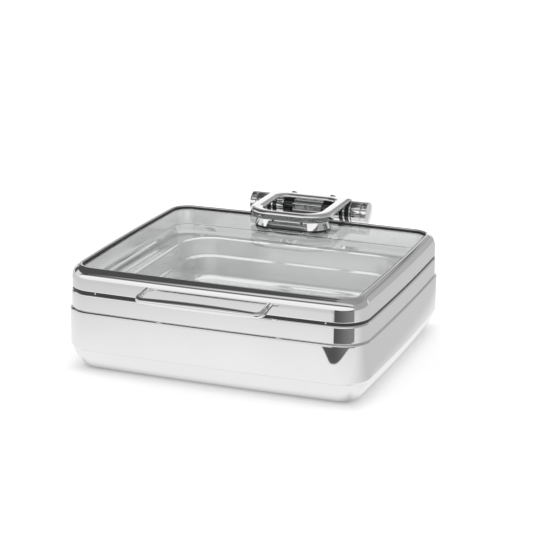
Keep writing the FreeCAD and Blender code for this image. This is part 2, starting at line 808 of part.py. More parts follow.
def hinge_yoke():
    rear = axis_y + knuckle_radius + yoke_skin + 5.0
    outside = flat_solid(yoke_plan(0.0, rear), 0.0, beyond)
    loop = [(-loop_half, loop_front, loop_front_curve), (loop_half, loop_front, loop_front_curve),
            (loop_half, loop_rear, loop_rear_curve), (-loop_half, loop_rear, loop_rear_curve)]
    shape = yoke_side().common(outside).cut(flat_solid(loop, 0.0, beyond))
    shape = shape.makeFillet(yoke_edge, roof_edges(shape))
    for sign in (-1, 1):
        shape = shape.cut(yoke_screw_rod(sign, yoke_screw))
    for x, y in mount_screw_places():
        shape = shape.cut(rod(Vector(x, y, 0), Vector(x, y, yoke_underside + mount_screw_bite), mount_screw))
    return shape


def yoke_screws():
    screws = []
    for sign in (-1, 1):
        shift = Vector(sign * yoke_screw_x, 0, 0)
        tip = around_axis(knuckle_radius - yoke_screw_bite, yoke_screw_angle) + shift
        seat = around_axis(knuckle_radius + yoke_skin, yoke_screw_angle) + shift
        screws.append(screw(tip, seat, yoke_screw))
    return Part.makeCompound(screws)


def mount_screw_places():
    front = yoke_front + mount_screw_margin
    rear = step_start - mount_screw_rear_margin
    return [(sign * x, y) for x, y in ((mount_screw_x, front), (mount_screw_side, rear)) for sign in (-1, 1)]


def mount_slab(inset, low, high):
    rear = step_start - inset
    hollow = flat_solid(loop_plan(inset, rear + 5.0), 0.0, beyond)
    return flat_solid(yoke_plan(inset, rear), low, high).cut(hollow)


def with_mount_holes(shape, diameter):
    for x, y in mount_screw_places():
        shape = shape.cut(rod(Vector(x, y, 0), Vector(x, y, beyond), diameter))
    return shape


def lid_mount():
    slab = mount_slab(mount_inset, mount_base, yoke_underside - shim_thickness)
    level = yoke_underside - shim_thickness
    rear = step_start - mount_inset
    rim = [edge for edge in slab.Edges if edge.BoundBox.ZMin > level - 0.01
           and edge.CenterOfMass.y < rear - 0.1]
    return with_mount_holes(slab.makeFillet(mount_edge, rim), mount_screw)


def yoke_shim():
    slab = mount_slab(mount_inset + shim_inset, yoke_underside - shim_thickness, yoke_underside)
    return with_mount_holes(slab, mount_screw)


def mount_gasket():
    return with_mount_holes(mount_slab(mount_inset, glass_top, mount_base), mount_screw)


def mount_clamp():
    plate = mount_slab(mount_inset, glass_bottom - clamp_thickness, glass_bottom)
    return with_mount_holes(plate, mount_screw)


def mount_screws():
    low = glass_bottom - clamp_thickness
    return Part.makeCompound([screw(Vector(x, y, yoke_underside + mount_screw_bite), Vector(x, y, low),
                                    mount_screw) for x, y in mount_screw_places()])


def build():
    nodes = {"base_shell": base_shell(),
             "induction_plate": induction_plate(),
             "rim_frame": rim_frame(),
             "food_pan": food_pan(),
             "lid_frame": lid_frame(),
             "lid_inner_ring": lid_inner_ring(),
             "glass_window": glass_window(),
             "glass_gasket": glass_gasket(),
             "lid_bumpers": lid_bumpers(),
             "handle": handle(),
             "handle_screws": handle_screws(),
             "hinge_shaft": hinge_shaft(),
             "hinge_block": hinge_block(),
             "block_screws": block_screws(),
             "hinge_bracket": hinge_bracket(),
             "backing_plate": backing_plate(),
             "bracket_screws": bracket_screws(),
             "cap_screws": cap_screws(),
             "hinge_yoke": hinge_yoke(),
             "yoke_screws": yoke_screws(),
             "lid_mount": lid_mount(),
             "yoke_shim": yoke_shim(),
             "mount_gasket": mount_gasket(),
             "mount_clamp": mount_clamp(),
             "mount_screws": mount_screws()}
    pairs = {"knuckle": knuckle(), "collar": collar(), "friction_sleeves": friction_sleeves(),
             "spacer_rings": spacer_rings(), "end_sleeve": end_sleeve(), "end_cap": end_cap()}
    for name, shape in pairs.items():
        nodes[name + "_right"] = shape
        nodes[name + "_left"] = mirrored(shape)
    return nodes


def main():
    os.makedirs("parts", exist_ok=True)
    for name, shape in build().items():
        solids = shape.Solids
        solid = solids[0] if len(solids) == 1 else Part.makeCompound(solids)
        solid.exportStep(f"parts/{name}.step")
        print(f"{name}: {len(solids)} solid(s), {solid.Volume / 1000:.1f} cm3, valid {solid.isValid()}")


master = bowed_outline(body_length, body_width, corner_radius, side_bow)
main()
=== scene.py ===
# Chafing dish with a glass window in its lid, dressed for its photograph.
import json
import math

import bpy
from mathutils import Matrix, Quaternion, Vector


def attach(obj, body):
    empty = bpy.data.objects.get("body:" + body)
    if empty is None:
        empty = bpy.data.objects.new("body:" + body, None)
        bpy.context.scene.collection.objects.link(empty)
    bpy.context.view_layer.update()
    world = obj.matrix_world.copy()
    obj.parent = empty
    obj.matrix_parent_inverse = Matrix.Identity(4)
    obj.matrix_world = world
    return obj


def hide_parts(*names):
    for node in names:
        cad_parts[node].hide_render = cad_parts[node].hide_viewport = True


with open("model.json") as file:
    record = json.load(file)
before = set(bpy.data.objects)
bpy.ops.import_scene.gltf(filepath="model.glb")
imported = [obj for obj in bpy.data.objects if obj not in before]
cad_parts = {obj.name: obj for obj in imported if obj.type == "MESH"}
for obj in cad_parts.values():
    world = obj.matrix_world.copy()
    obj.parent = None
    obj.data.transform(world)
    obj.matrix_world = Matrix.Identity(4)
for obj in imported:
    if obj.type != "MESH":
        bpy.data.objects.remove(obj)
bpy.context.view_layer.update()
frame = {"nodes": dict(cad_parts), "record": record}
nodes = frame["nodes"]
print("frame loaded:", len(nodes), "pieces")


# Shader maths: a channel is one output of a node, and sums or products of channels add Math nodes

class Channel:
    def __init__(self, tree, socket):
        self.tree = tree
        self.socket = socket

    def math(self, operation, first, second=0.0):
        return self.tree.node("Math", {"operation": operation}, {0: first, 1: second})

    def __add__(self, other):
        return self.math("ADD", self, other)

    def __sub__(self, other):
        return self.math("SUBTRACT", self, other)

    def __rsub__(self, other):
        return self.math("SUBTRACT", other, self)

    def __mul__(self, other):
        return self.math("MULTIPLY", self, other)

    def __truediv__(self, other):
        return self.math("DIVIDE", self, other)

    def __pow__(self, other):
        return self.math("POWER", self, other)

    def __gt__(self, other):
        return self.math("GREATER_THAN", self, other)

    def __lt__(self, other):
        return self.math("LESS_THAN", self, other)

    def __neg__(self):
        return self.math("MULTIPLY", self, -1.0)

    __radd__ = __add__
    __rmul__ = __mul__


class NodeTree:
    def __init__(self, owner):
        owner.use_nodes = True
        self.nodes = owner.node_tree.nodes
        self.links = owner.node_tree.links
        self.nodes.clear()

    def node(self, kind, settings=None, inputs=None, output=0):
        made = self.nodes.new("ShaderNode" + kind)
        for key, value in (settings or {}).items():
            if key == "stops":
                self.setStops(made.color_ramp, value)
            else:
                setattr(made, key, value)
        for key, value in (inputs or {}).items():
            if isinstance(value, Channel):
                self.links.new(value.socket, made.inputs[key])
            else:
                made.inputs[key].default_value = value
        return Channel(self, made.outputs[output]) if made.outputs else made

    def setStops(self, ramp, stops):
        while len(ramp.elements) < len(stops):
            ramp.elements.new(1.0)
        for element, (place, grey) in zip(ramp.elements, stops):
            element.position = place
            element.color = (grey, grey, grey, 1.0)

    def ramp(self, value, stops):
        return self.node("ValToRGB", {"stops": stops}, {"Fac": value})

    def remap(self, value, low, high, newLow, newHigh):
        return self.node("MapRange", {"interpolation_type": "SMOOTHSTEP"},
                         {"Value": value, "From Min": low, "From Max": high,
                          "To Min": newLow, "To Max": newHigh})

    def split(self, vector):
        parts = self.node("SeparateXYZ", None, {"Vector": vector}).socket.node
        return [Channel(self, output) for output in parts.outputs]

    def brightness(self, colour):
        return self.node("RGBToBW", None, {"Color": colour})

    def clamped(self, value):
        return self.node("Clamp", None, {"Value": value})

    def absolute(self, value):
        return self.node("Math", {"operation": "ABSOLUTE"}, {0: value})

    def turn(self, across, ahead):
        # The angle in degrees from the second direction towards the first
        return self.node("Math", {"operation": "ARCTAN2"}, {0: across, 1: ahead}) * math.degrees(1.0)

    def lightPath(self, ray):
        return self.node("LightPath", output=ray)

    def place(self, scale=(1.0, 1.0, 1.0)):
        spot = self.node("TexCoord", output="Object")
        return self.node("Mapping", None, {"Vector": spot, "Scale": scale})

    def noise(self, scale, stretch=(1.0, 1.0, 1.0), detail=3.0):
        return self.node("TexNoise", None, {"Vector": self.place(stretch), "Scale": scale, "Detail": detail})

    def tint(self, factor, first, second):
        return self.node("Mix", {"data_type": "RGBA"},
                         {0: factor, 6: (*first, 1.0), 7: (*second, 1.0)}, output=2)

    def bump(self, height, strength, distance):
        return self.node("Bump", None, {"Height": height, "Strength": strength, "Distance": distance})

    def surface(self, **inputs):
        named = {key.replace("_", " "): value for key, value in inputs.items()}
        shader = self.node("BsdfPrincipled", None, named)
        self.node("OutputMaterial", None, {"Surface": shader})

    def within(self, value, span):
        # A span is its start, its end and the softness of both; one with no softness cuts off sharply
        start, end, soft = span
        if soft == 0.0:
            return (value > start) * (value < end)
        opened = self.remap(value, start - soft, start + soft, 0.0, 1.0)
        return opened * self.remap(value, end - soft, end + soft, 1.0, 0.0)

    def blend(self, under, over, cover):
        return under + (over - under) * cover


# Camera and studio

camera = {"target": (0.009150, 0.018980, 0.110237),
          "azimuth": 20.583,
          "elevation": 16.933,
          "roll": 0.506,
          "distance": 2.5503,
          "lens": 119.083,
          "sensor": 36.0,
          "farEnd": 50.0}


def placeCamera():
    azimuth = math.radians(camera["azimuth"])
    elevation = math.radians(camera["elevation"])
    back = Vector((math.sin(azimuth) * math.cos(elevation), -math.cos(azimuth) * math.cos(elevation),
                   math.sin(elevation)))
    target = Vector(camera["target"])
    aim = back.to_track_quat("Z", "Y") @ Quaternion((0.0, 0.0, 1.0), math.radians(camera["roll"]))
    bpy.ops.object.camera_add(location=target + back * camera["distance"], rotation=aim.to_euler())
    view = bpy.context.active_object
    view.name = "camera"
    view.data.lens = camera["lens"]
    view.data.sensor_width = camera["sensor"]
    view.data.clip_end = camera["farEnd"]
    bpy.context.scene.camera = view
    bpy.context.scene.view_settings.view_transform = "Standard"


# Polished steel outside mirrors the room, steel under the glass is lit by the hall, and plain surfaces by
# the dome.
# Angles are in degrees: around runs from the front, 0, to the right, 90, and height up from the horizon.
# The front wall's stops run from the horizon in front, 0, over the top, 90, to the one behind, 180.
room = {"frontWall": [(0.0, 0.62), (4.0, 0.95), (28.0, 1.05), (32.0, 0.18), (40.0, 0.18), (45.0, 0.80),
                      (56.0, 0.72), (64.0, 0.34), (120.0, 0.30), (150.0, 0.36), (156.5, 0.44), (158.0, 0.10),
                      (159.0, 0.46), (160.6, 0.50), (161.4, 0.12), (164.2, 1.08), (180.0, 1.00)],
        "patches": [
            {"level": 0.48, "around": (146.0, 177.0, 7.0), "height": (-3.0, 17.0, 0.0)},    # rear right
            {"level": 0.40, "around": (62.0, 140.0, 8.0), "height": (-90.1, 30.0, 0.0)},    # right wall
            {"level": 0.78, "around": (-125.0, -70.0, 8.0), "height": (-90.1, 40.0, 0.0)},  # left wall
            {"level": 0.10, "around": (-122.0, -100.0, 3.0), "height": (2.0, 55.0, 3.0)},   # gap in it
            {"level": 0.08, "around": (-150.0, -34.0, 6.0), "height": (24.0, 74.0, 3.0)}],  # high on the left
        "darkLevel": 0.05,
        "darkPaler": 0.10,
        "palerAround": (4.0, 44.0, 4.0),
        "darkAround": (-12.5, 63.0, 1.0),
        "darkTop": (2.0, 5.0)}

hall = {"top": 1.35,
        "front": 0.40,
        "rear": 0.95,
        "frontToRear": (-0.5, 0.6),
        "topFrom": (0.60, 0.92),
        "leftLevel": 0.12,
        "leftAround": (-112.0, -66.0, 6.0),
        "leftHeight": (8.0, 50.0, 6.0)}

dome = {"side": 0.85,
        "top": 1.05,
        "topFrom": 0.6,
        "skyline": 0.02}


def mirroredRoom(tree, y, z, around, height):
    pitch = tree.turn(z, -y)
    stops = [(angle / 180.0, level) for angle, level in room["frontWall"]]
    level = tree.brightness(tree.ramp(pitch / 180.0, stops))
    for patch in room["patches"]:
        cover = tree.within(around, patch["around"]) * tree.within(height, patch["height"])
        level = tree.blend(level, patch["level"], cover)
    dark = room["darkLevel"] + room["darkPaler"] * tree.within(around, room["palerAround"])
    cover = tree.within(around, room["darkAround"]) * tree.remap(height, *room["darkTop"], 1.0, 0.0)
    return tree.blend(level, dark, cover)


def hallUnderGlass(tree, y, z, around, height):
    level = tree.remap(y, *hall["frontToRear"], hall["front"], hall["rear"])
    level = tree.blend(level, hall["top"], tree.remap(z, *hall["topFrom"], 0.0, 1.0))
    cover = tree.within(around, hall["leftAround"]) * tree.within(height, hall["leftHeight"])
    return tree.blend(level, hall["leftLevel"], cover)


def lightRoom():
    world = bpy.data.worlds.new("studioRoom")
    bpy.context.scene.world = world
    tree = NodeTree(world)
    x, y, z = tree.split(tree.node("TexCoord"))
    around = tree.turn(x, -y)
    height = tree.node("Math", {"operation": "ARCSINE"}, {0: z}) * math.degrees(1.0)
    outside = mirroredRoom(tree, y, z, around, height)
    beneath = hallUnderGlass(tree, y, z, around, height)
    plain = tree.remap(z, 0.0, dome["topFrom"], dome["side"], dome["top"])
    inside = tree.lightPath("Transmission Depth") > 0.5
    upwards = tree.lightPath("Is Transmission Ray") * (z > dome["skyline"])  # turned back inside the pane
    mirrors = tree.clamped(tree.lightPath("Is Glossy Ray") * (1.0 - inside) + upwards)
    level = tree.blend(tree.blend(plain, beneath, inside), outside, mirrors)
    seen = tree.lightPath("Is Camera Ray") + tree.lightPath("Is Transmission Ray") - upwards
    shown = tree.blend(level, 1.0, tree.clamped(seen))
    light = tree.node("Background", None, {"Color": shown, "Strength": 1.0})
    tree.node("OutputWorld", None, {"Surface": light})


# What steel mirrors of the floor: paler near the dish, and dark beyond its near corner, where the camera
# stood. The dish's shadow is painted into it, darker beside the foot and off to the right
floorPaper = {"size": 12.0,
              "white": 0.86,
              "glow": 0.34,
              "near": 0.97,
              "far": 0.66,
              "nearToFar": (0.28, 0.75),
              "right": 0.60,
              "rightFrom": 0.20,
              "rightFade": (0.228, 0.266),
              "rightAlong": (-0.30, -0.08),
              "mirror": 0.9}

cornerShade = {"corner": (0.178, -0.154),
               "levels": (0.008, 0.17),
               "levelsAround": (-15.0, 63.0),
               "edge": (0.206, 0.214),
               "flare": 0.085,
               "flareMiddle": -9.0,
               "flareReach": 72.0,
               "leftFlare": (-17.6, -12.0),
               "fan": 6.5,
               "fanReach": 0.288}

# Painted shadow round the dish: close to the footprint the floor's glow and its mirrored image fade, and to
# the right the glow drops
contactShade = {"halfLength": 0.190,
                "halfWidth": 0.166,
                "mirroredFade": (-0.004, 0.026, 0.42),
                "seenFade": (-0.01, 0.05, 0.30),
                "rightShadow": 0.11,
                "rightShadowFrom": (0.22, 0.34),
                "rightShadowTo": (0.36, 0.80),
                "rightShadowSide": (0.16, 0.50)}


def shadeOfCorner(tree, x, y, mirrored):
    cornerX, cornerY = x - cornerShade["corner"][0], y - cornerShade["corner"][1]
    around = tree.turn(cornerX, -cornerY)
    reach = (cornerX * cornerX + cornerY * cornerY) ** 0.5
    fromMiddle = tree.absolute(around - cornerShade["flareMiddle"])
    flare = tree.remap(fromMiddle, 0.0, cornerShade["flareReach"], 0.0, cornerShade["flare"])
    flare = flare + tree.remap(around, *cornerShade["leftFlare"], cornerShade["flare"], 0.0)
    dark = tree.remap(around, *cornerShade["levelsAround"], *cornerShade["levels"])
    fanned = around + cornerShade["fan"] * (reach < cornerShade["fanReach"])
    cover = tree.within(fanned, room["darkAround"])
    cover = cover * tree.remap(reach - flare, *cornerShade["edge"], 0.0, 1.0)
    return tree.blend(mirrored, dark, cover)


def layFloor():
    bpy.ops.mesh.primitive_plane_add(size=floorPaper["size"])
    floor = bpy.context.active_object
    floor.name = "floor"
    paint = bpy.data.materials.new("paperFloor")
    tree = NodeTree(paint)
    x, y, z = tree.split(tree.node("TexCoord", output="Object"))
    away = (x * x + y * y) ** 0.5
    near = floorPaper["near"]
    mirrored = tree.remap(away, *floorPaper["nearToFar"], near, floorPaper["far"])
    # Painted shadow: the mirrored floor is darker to the right of the dish
    rightSide = tree.remap(x, *floorPaper["rightFade"], near, floorPaper["right"])
    beyond = (x > floorPaper["rightFrom"]) * tree.remap(y, *floorPaper["rightAlong"], 0.0, 1.0)
    mirrored = shadeOfCorner(tree, x, y, tree.blend(mirrored, rightSide, beyond))
    beside = tree.node("Math", {"operation": "MAXIMUM"},
                       {0: tree.absolute(x) - contactShade["halfLength"],
                        1: tree.absolute(y) - contactShade["halfWidth"]})
    # Painted contact shadow in the mirrored floor
    mirrored = mirrored * tree.remap(beside, *contactShade["mirroredFade"], 1.0)
    toRight = tree.remap(x, *contactShade["rightShadowFrom"], 0.0, 1.0)
    toRight = toRight * tree.remap(x, *contactShade["rightShadowTo"], 1.0, 0.0)
    rightShadow = toRight * tree.remap(tree.absolute(y), *contactShade["rightShadowSide"], 1.0, 0.0)
    # The paper's diffuse part takes the real shadow; its glow is cut near the footprint and to the right, a
    # painted shadow
    glowing = floorPaper["glow"] * tree.remap(beside, *contactShade["seenFade"], 1.0)
    glowing = glowing - contactShade["rightShadow"] * rightShadow
    white = floorPaper["white"]
    paper = tree.node("BsdfDiffuse", None, {"Color": (white, white, white, 1.0)})
    through = tree.lightPath("Is Transmission Ray")
    seen = tree.clamped(tree.lightPath("Is Camera Ray") + through)
    glow = tree.node("Emission", None, {"Strength": seen * glowing})
    lit = tree.node("AddShader", None, {0: paper, 1: glow})
    image = tree.node("Emission", None, {"Color": mirrored})
    glossy = tree.lightPath("Is Glossy Ray") * (1.0 - through) * floorPaper["mirror"]
    both = tree.node("MixShader", None, {0: glossy, 1: lit, 2: image})
    tree.node("OutputMaterial", None, {"Surface": both})
    floor.data.materials.append(paint)


bpy.ops.object.select_all(action="DESELECT")
placeCamera()
lightRoom()
layFloor()
print("studio and camera placed")


# Materials

polish = {"smudgeScale": 14.0,
          "smudgeSpan": (0.45, 0.75),
          "dark": (0.84, 0.84, 0.845),
          "light": (0.90, 0.90, 0.90),
          "rough": (0.025, 0.07)}


def polishedSteel():
    paint = bpy.data.materials.new("polishedSteel")
    tree = NodeTree(paint)
    smudges = tree.noise(polish["smudgeScale"], detail=4.0)
    rough = tree.remap(smudges, *polish["smudgeSpan"], *polish["rough"])
    tree.surface(Base_Color=tree.tint(smudges, polish["dark"], polish["light"]), Metallic=1.0,
                 Roughness=rough)
    return paint


satin = {"grainScale": 420.0,
         "grainStretch": (0.04, 1.0, 1.0),
         "grainRough": 0.04,
         "grainBump": 0.02,
         "grainDepth": 0.0001,
         "cloudScale": 16.0,
         "cloudSpan": (0.3, 0.7),
         "dark": (0.76, 0.76, 0.765),
         "light": (0.82, 0.82, 0.825),
         "rough": (0.13, 0.18)}


def satinSteel():
    paint = bpy.data.materials.new("satinSteel")
    tree = NodeTree(paint)
    grain = tree.noise(satin["grainScale"], satin["grainStretch"], detail=2.0)
    clouds = tree.noise(satin["cloudScale"], detail=4.0)
    rough = tree.remap(clouds, *satin["cloudSpan"], *satin["rough"]) + satin["grainRough"] * grain
    tree.surface(Base_Color=tree.tint(grain, satin["dark"], satin["light"]), Metallic=1.0, Roughness=rough,
                 Normal=tree.bump(grain, satin["grainBump"], satin["grainDepth"]))
    return paint


plain = {"cloudScale": 120.0,
         "cloudSpan": (0.3, 0.7)}


def plainSteel(name, dark, light, rough):
    paint = bpy.data.materials.new(name)
    tree = NodeTree(paint)
    clouds = tree.noise(plain["cloudScale"])
    tree.surface(Base_Color=tree.tint(clouds, dark, light), Metallic=1.0,
                 Roughness=tree.remap(clouds, *plain["cloudSpan"], *rough))
    return paint


pane = {"filmScale": 9.0,
        "dark": (0.975, 0.985, 0.980),
        "light": (0.995, 0.998, 0.996),
        "bending": 1.5,
        "clear": (0.95, 0.96, 0.955, 1.0)}


def clearGlass():
    # Shadow rays, plain light and what steel under the pane mirrors pass straight through
    paint = bpy.data.materials.new("clearGlass")
    tree = NodeTree(paint)
    film = tree.noise(pane["filmScale"], detail=4.0)
    glass = tree.node("BsdfPrincipled", None,
                      {"Base Color": tree.tint(film, pane["dark"], pane["light"]),
                       "Roughness": 0.0, "IOR": pane["bending"], "Transmission Weight": 1.0})
    clear = tree.node("BsdfTransparent", None, {"Color": pane["clear"]})
    bounced = tree.lightPath("Is Glossy Ray") * (1.0 - tree.lightPath("Is Transmission Ray"))
    passing = tree.clamped(tree.lightPath("Is Shadow Ray") + tree.lightPath("Is Diffuse Ray") + bounced)
    both = tree.node("MixShader", None, {0: passing, 1: glass, 2: clear})
    tree.node("OutputMaterial", None, {"Surface": both})
    return paint


rubber = {"grainScale": 700.0,
          "grainSpan": (0.3, 0.7),
          "grainBump": 0.1,
          "grainDepth": 0.0002,
          "rough": (0.42, 0.55)}


def siliconeRubber(name, dark, light):
    paint = bpy.data.materials.new(name)
    tree = NodeTree(paint)
    grain = tree.noise(rubber["grainScale"])
    tree.surface(Base_Color=tree.tint(grain, dark, light),
                 Roughness=tree.remap(grain, *rubber["grainSpan"], *rubber["rough"]),
                 Normal=tree.bump(grain, rubber["grainBump"], rubber["grainDepth"]))
    return paint


finishes = {"polished_steel": polishedSteel(),
            "satin_steel": satinSteel(),
            "plate_steel": plainSteel("plateSteel", (0.50, 0.50, 0.51), (0.60, 0.60, 0.61), (0.35, 0.5)),
            # dark_steel: near-black steel stands in for polished chrome that mirrors the yoke's shaded
            # underside, a painted reflection
            "dark_steel": plainSteel("paintedReflectionSteel", (0.055, 0.055, 0.06), (0.09, 0.09, 0.095), (0.10, 0.2)),
            "fastener_steel": plainSteel("fastenerSteel", (0.60, 0.60, 0.61), (0.72, 0.72, 0.73),
                                         (0.15, 0.25)),
            "clear_glass": clearGlass(),
            "black_rubber": siliconeRubber("blackRubber", (0.02, 0.02, 0.02), (0.035, 0.035, 0.035)),
            "pale_silicone": siliconeRubber("paleSilicone", (0.70, 0.70, 0.68), (0.80, 0.80, 0.78))}


def dressNodes():
    slots = {part["node"]: part["material_slot"] for part in frame["record"]["subparts"]}
    for name, piece in nodes.items():
        piece.data.materials.clear()
        piece.data.materials.append(finishes[slots[name]])


dressNodes()
print("finishes on", len(nodes), "pieces")


# Helpers for the pieces

def pieceName(node):
    words = node.split("_")
    return words[0] + "".join(word.capitalize() for word in words[1:])


def mergedCopy(node, name=None):
    # The CAD node's mesh is loose triangles, so its copy is merged before it is shaped
    bpy.ops.object.select_all(action="DESELECT")
    twin = nodes[node].copy()
    twin.data = nodes[node].data.copy()
    twin.name = name or pieceName(node)
    bpy.context.collection.objects.link(twin)
    twin.select_set(True)
    bpy.context.view_layer.objects.active = twin
    bpy.ops.object.mode_set(mode="EDIT")
    bpy.ops.mesh.select_all(action="SELECT")
    bpy.ops.mesh.remove_doubles(threshold=0.00001)
    bpy.ops.mesh.select_all(action="DESELECT")
    bpy.ops.mesh.select_mode(type="VERT")
    bpy.ops.object.mode_set(mode="OBJECT")
    return twin


def editAll():
    bpy.ops.object.mode_set(mode="EDIT")
    bpy.ops.mesh.select_all(action="SELECT")


def smoothOff(sharp=40.0):
    bpy.ops.object.mode_set(mode="OBJECT")
    bpy.ops.object.shade_smooth_by_angle(angle=math.radians(sharp))


def applied(piece, kind, **settings):
    modifier = piece.modifiers.new(kind.lower(), kind)
    for key, value in settings.items():
        setattr(modifier, key, value)
    bpy.ops.object.modifier_apply(modifier=modifier.name)


# Rings carried once round the body: four long arcs for the sides, joined by four corner arcs

bodyOutline = {"length": 0.440,
               "width": 0.3925,
               "corner": 0.042,
               "bow": 0.0025,
               "cornerSteps": 26,
               "sideSteps": 10}


def outlineArcs():
    corner, bow = bodyOutline["corner"], bodyOutline["bow"]
    halfX, halfY = bodyOutline["length"] / 2, bodyOutline["width"] / 2
    frontRadius = ((halfX - corner) ** 2 + bow ** 2) / (2 * bow)
    sideRadius = ((halfY - corner) ** 2 + bow ** 2) / (2 * bow)
    front = Vector((0.0, frontRadius - halfY))
    right = Vector((halfX - sideRadius, 0.0))
    span = right - front
    along = ((frontRadius - corner) ** 2 - (sideRadius - corner) ** 2 + span.length ** 2) / (2 * span.length)
    off = math.sqrt((frontRadius - corner) ** 2 - along ** 2)
    ahead = span.normalized()
    middle = front + ahead * along + Vector((-ahead.y, ahead.x)) * off
    first = math.atan2(middle.y - front.y, middle.x - front.x)
    second = math.atan2(middle.y - right.y, middle.x - right.x)
    turn = math.pi
    return [(front.x, front.y, frontRadius, -turn - first, first),
            (middle.x, middle.y, corner, first, second),
            (right.x, right.y, sideRadius, second, -second),
            (middle.x, -middle.y, corner, -second, -first),
            (front.x, -front.y, frontRadius, -first, turn + first),
            (-middle.x, -middle.y, corner, turn + first, turn + second),
            (-right.x, right.y, sideRadius, turn + second, turn - second),
            (-middle.x, middle.y, corner, turn - second, turn - first)]


def quarterOval(inset, top, wide, tall, start, end, count):
    # Points of an upright wall's rounded top, from the wall up and inwards
    points = []
    for step in range(count + 1):
        angle = math.radians(start + (end - start) * step / count)
        points.append((inset + wide * (1.0 - math.cos(angle)), top - tall * (1.0 - math.sin(angle))))
    return points


def ringRoundBody(name, profile, sharp=40.0):
    # A profile point is how far it lies inside the outline, and its height
    arcs = outlineArcs()
    bpy.ops.object.select_all(action="DESELECT")
    bpy.ops.mesh.primitive_circle_add(vertices=len(profile), fill_type="NOTHING")
    ring = bpy.context.active_object
    ring.name = name
    x, y, radius, start, end = arcs[0]
    for corner, (inset, z) in zip(ring.data.vertices, profile):
        corner.co = (x + (radius - inset) * math.cos(start), y + (radius - inset) * math.sin(start), z)
    editAll()
    for x, y, radius, start, end in arcs:
        steps = bodyOutline["cornerSteps"] if radius == bodyOutline["corner"] else bodyOutline["sideSteps"]
        bpy.ops.mesh.spin(steps=steps, angle=end - start, center=(x, y, 0.0), axis=(0.0, 0.0, -1.0))
    bpy.ops.mesh.select_all(action="SELECT")
    bpy.ops.mesh.remove_doubles(threshold=0.00002)
    bpy.ops.mesh.normals_make_consistent(inside=False)
    smoothOff(sharp)
    return ring


# Handle and hinge

handleBar = {"swell": 0.0007,
             "setBack": 0.0008}


def makeHandle():
    # A little thicker than its core
    bar = mergedCopy("handle", "handleBar")
    applied(bar, "DISPLACE", strength=handleBar["swell"], mid_level=0.0)
    editAll()
    bpy.ops.transform.translate(value=(0.0, handleBar["setBack"], 0.0))
    smoothOff()
    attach(bar, "lid")
    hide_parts("handle")


mountStack = {"pieces": ["lid_mount", "yoke_shim", "mount_gasket", "mount_clamp", "mount_screws"],
              "middle": (0.0, 0.160, 0.15),
              "narrower": 0.93,
              "shorter": 0.86,
              "lean": 0.93,
              "leanAbove": 0.152}


def leanInwards(piece):
    # The mount is wider where it stands on the glass
    bpy.ops.mesh.select_all(action="DESELECT")
    bpy.ops.object.mode_set(mode="OBJECT")
    for corner in piece.data.vertices:
        corner.select = corner.co.z > mountStack["leanAbove"]
    bpy.ops.object.mode_set(mode="EDIT")
    bpy.ops.transform.resize(value=(mountStack["lean"], mountStack["lean"], 1.0),
                             center_override=mountStack["middle"])


def drawInMount():
    # The mount sits further in under the yoke than its core does
    for node in mountStack["pieces"]:
        piece = mergedCopy(node)
        editAll()
        bpy.ops.transform.resize(value=(mountStack["narrower"], mountStack["shorter"], 1.0),
                                 center_override=mountStack["middle"])
        if node == "lid_mount":
            leanInwards(piece)
        smoothOff()
        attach(piece, "lid")
        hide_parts(node)


barrelEnds = {"pieces": ["friction_sleeves", "spacer_rings", "end_sleeve", "end_cap"],
              "axis": (0.21705, 0.153),
              "from": 0.0503,
              "shorter": 0.86,
              "thicker": 1.083,
              "shaft": 0.90}


def stretchFrom(piece, x, along, across):
    bpy.ops.object.mode_set(mode="EDIT")
    bpy.ops.transform.resize(value=(along, across, across), center_override=(x, *barrelEnds["axis"]))
    smoothOff()
    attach(piece, "base")


def shapeBarrelEnds():
    # Fuller and shorter than their cores
    start, along, across = barrelEnds["from"], barrelEnds["shorter"], barrelEnds["thicker"]
    for side, x in (("left", -start), ("right", start)):
        for stem in barrelEnds["pieces"]:
            node = stem + "_" + side
            piece = mergedCopy(node)
            editAll()
            stretchFrom(piece, x, along, across)
            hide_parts(node)
    grubs = mergedCopy("cap_screws", "capGrubs")
    for x in (-start, start):
        for corner in grubs.data.vertices:
            corner.select = corner.co.x * x > 0.0
        stretchFrom(grubs, x, along, across)
        bpy.ops.object.mode_set(mode="EDIT")
        bpy.ops.mesh.select_all(action="DESELECT")
        bpy.ops.object.mode_set(mode="OBJECT")
    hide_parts("cap_screws")
    shaft = mergedCopy("hinge_shaft")
    editAll()
    stretchFrom(shaft, 0.0, barrelEnds["shaft"], 1.0)
    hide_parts("hinge_shaft")


hingeYoke = {"voxel": 0.0009,
             "rounds": 22}


def softenYoke():
    # The casting's edges are rounded off all over, as after long buffing
    yoke = mergedCopy("hinge_yoke")
    applied(yoke, "REMESH", mode="VOXEL", voxel_size=hingeYoke["voxel"])
    applied(yoke, "SMOOTH", iterations=hingeYoke["rounds"], factor=0.5)
    bpy.ops.object.shade_smooth()
    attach(yoke, "lid")
    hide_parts("hinge_yoke")
    yoke.data.materials.clear()
    yoke.data.materials.append(finishes["polished_steel"])


# Glass edge, lid frame, water pan and the black ring of painted shade in the gap between them

glassBead = {"outer": 0.0170,
             "inner": 0.0202,
             "low": 0.14462,
             "high": 0.14560,
             "slope": 0.6,
             "edge": 0.3}


def makeGlassBead():
    # The dark edge of the seal that shows on the glass inside the frame
    outer, inner, low, high = glassBead["outer"], glassBead["inner"], glassBead["low"], glassBead["high"]
    soft = (high - low) * glassBead["slope"]
    edge = soft * glassBead["edge"]
    profile = [(outer, low), (outer, high), (inner - soft, high), (inner - edge, high - edge),
               (inner, high - soft), (inner, low)]
    bead = ringRoundBody("glassBead", profile, 60.0)
    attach(bead, "lid")
    bead.data.materials.append(finishes["black_rubber"])


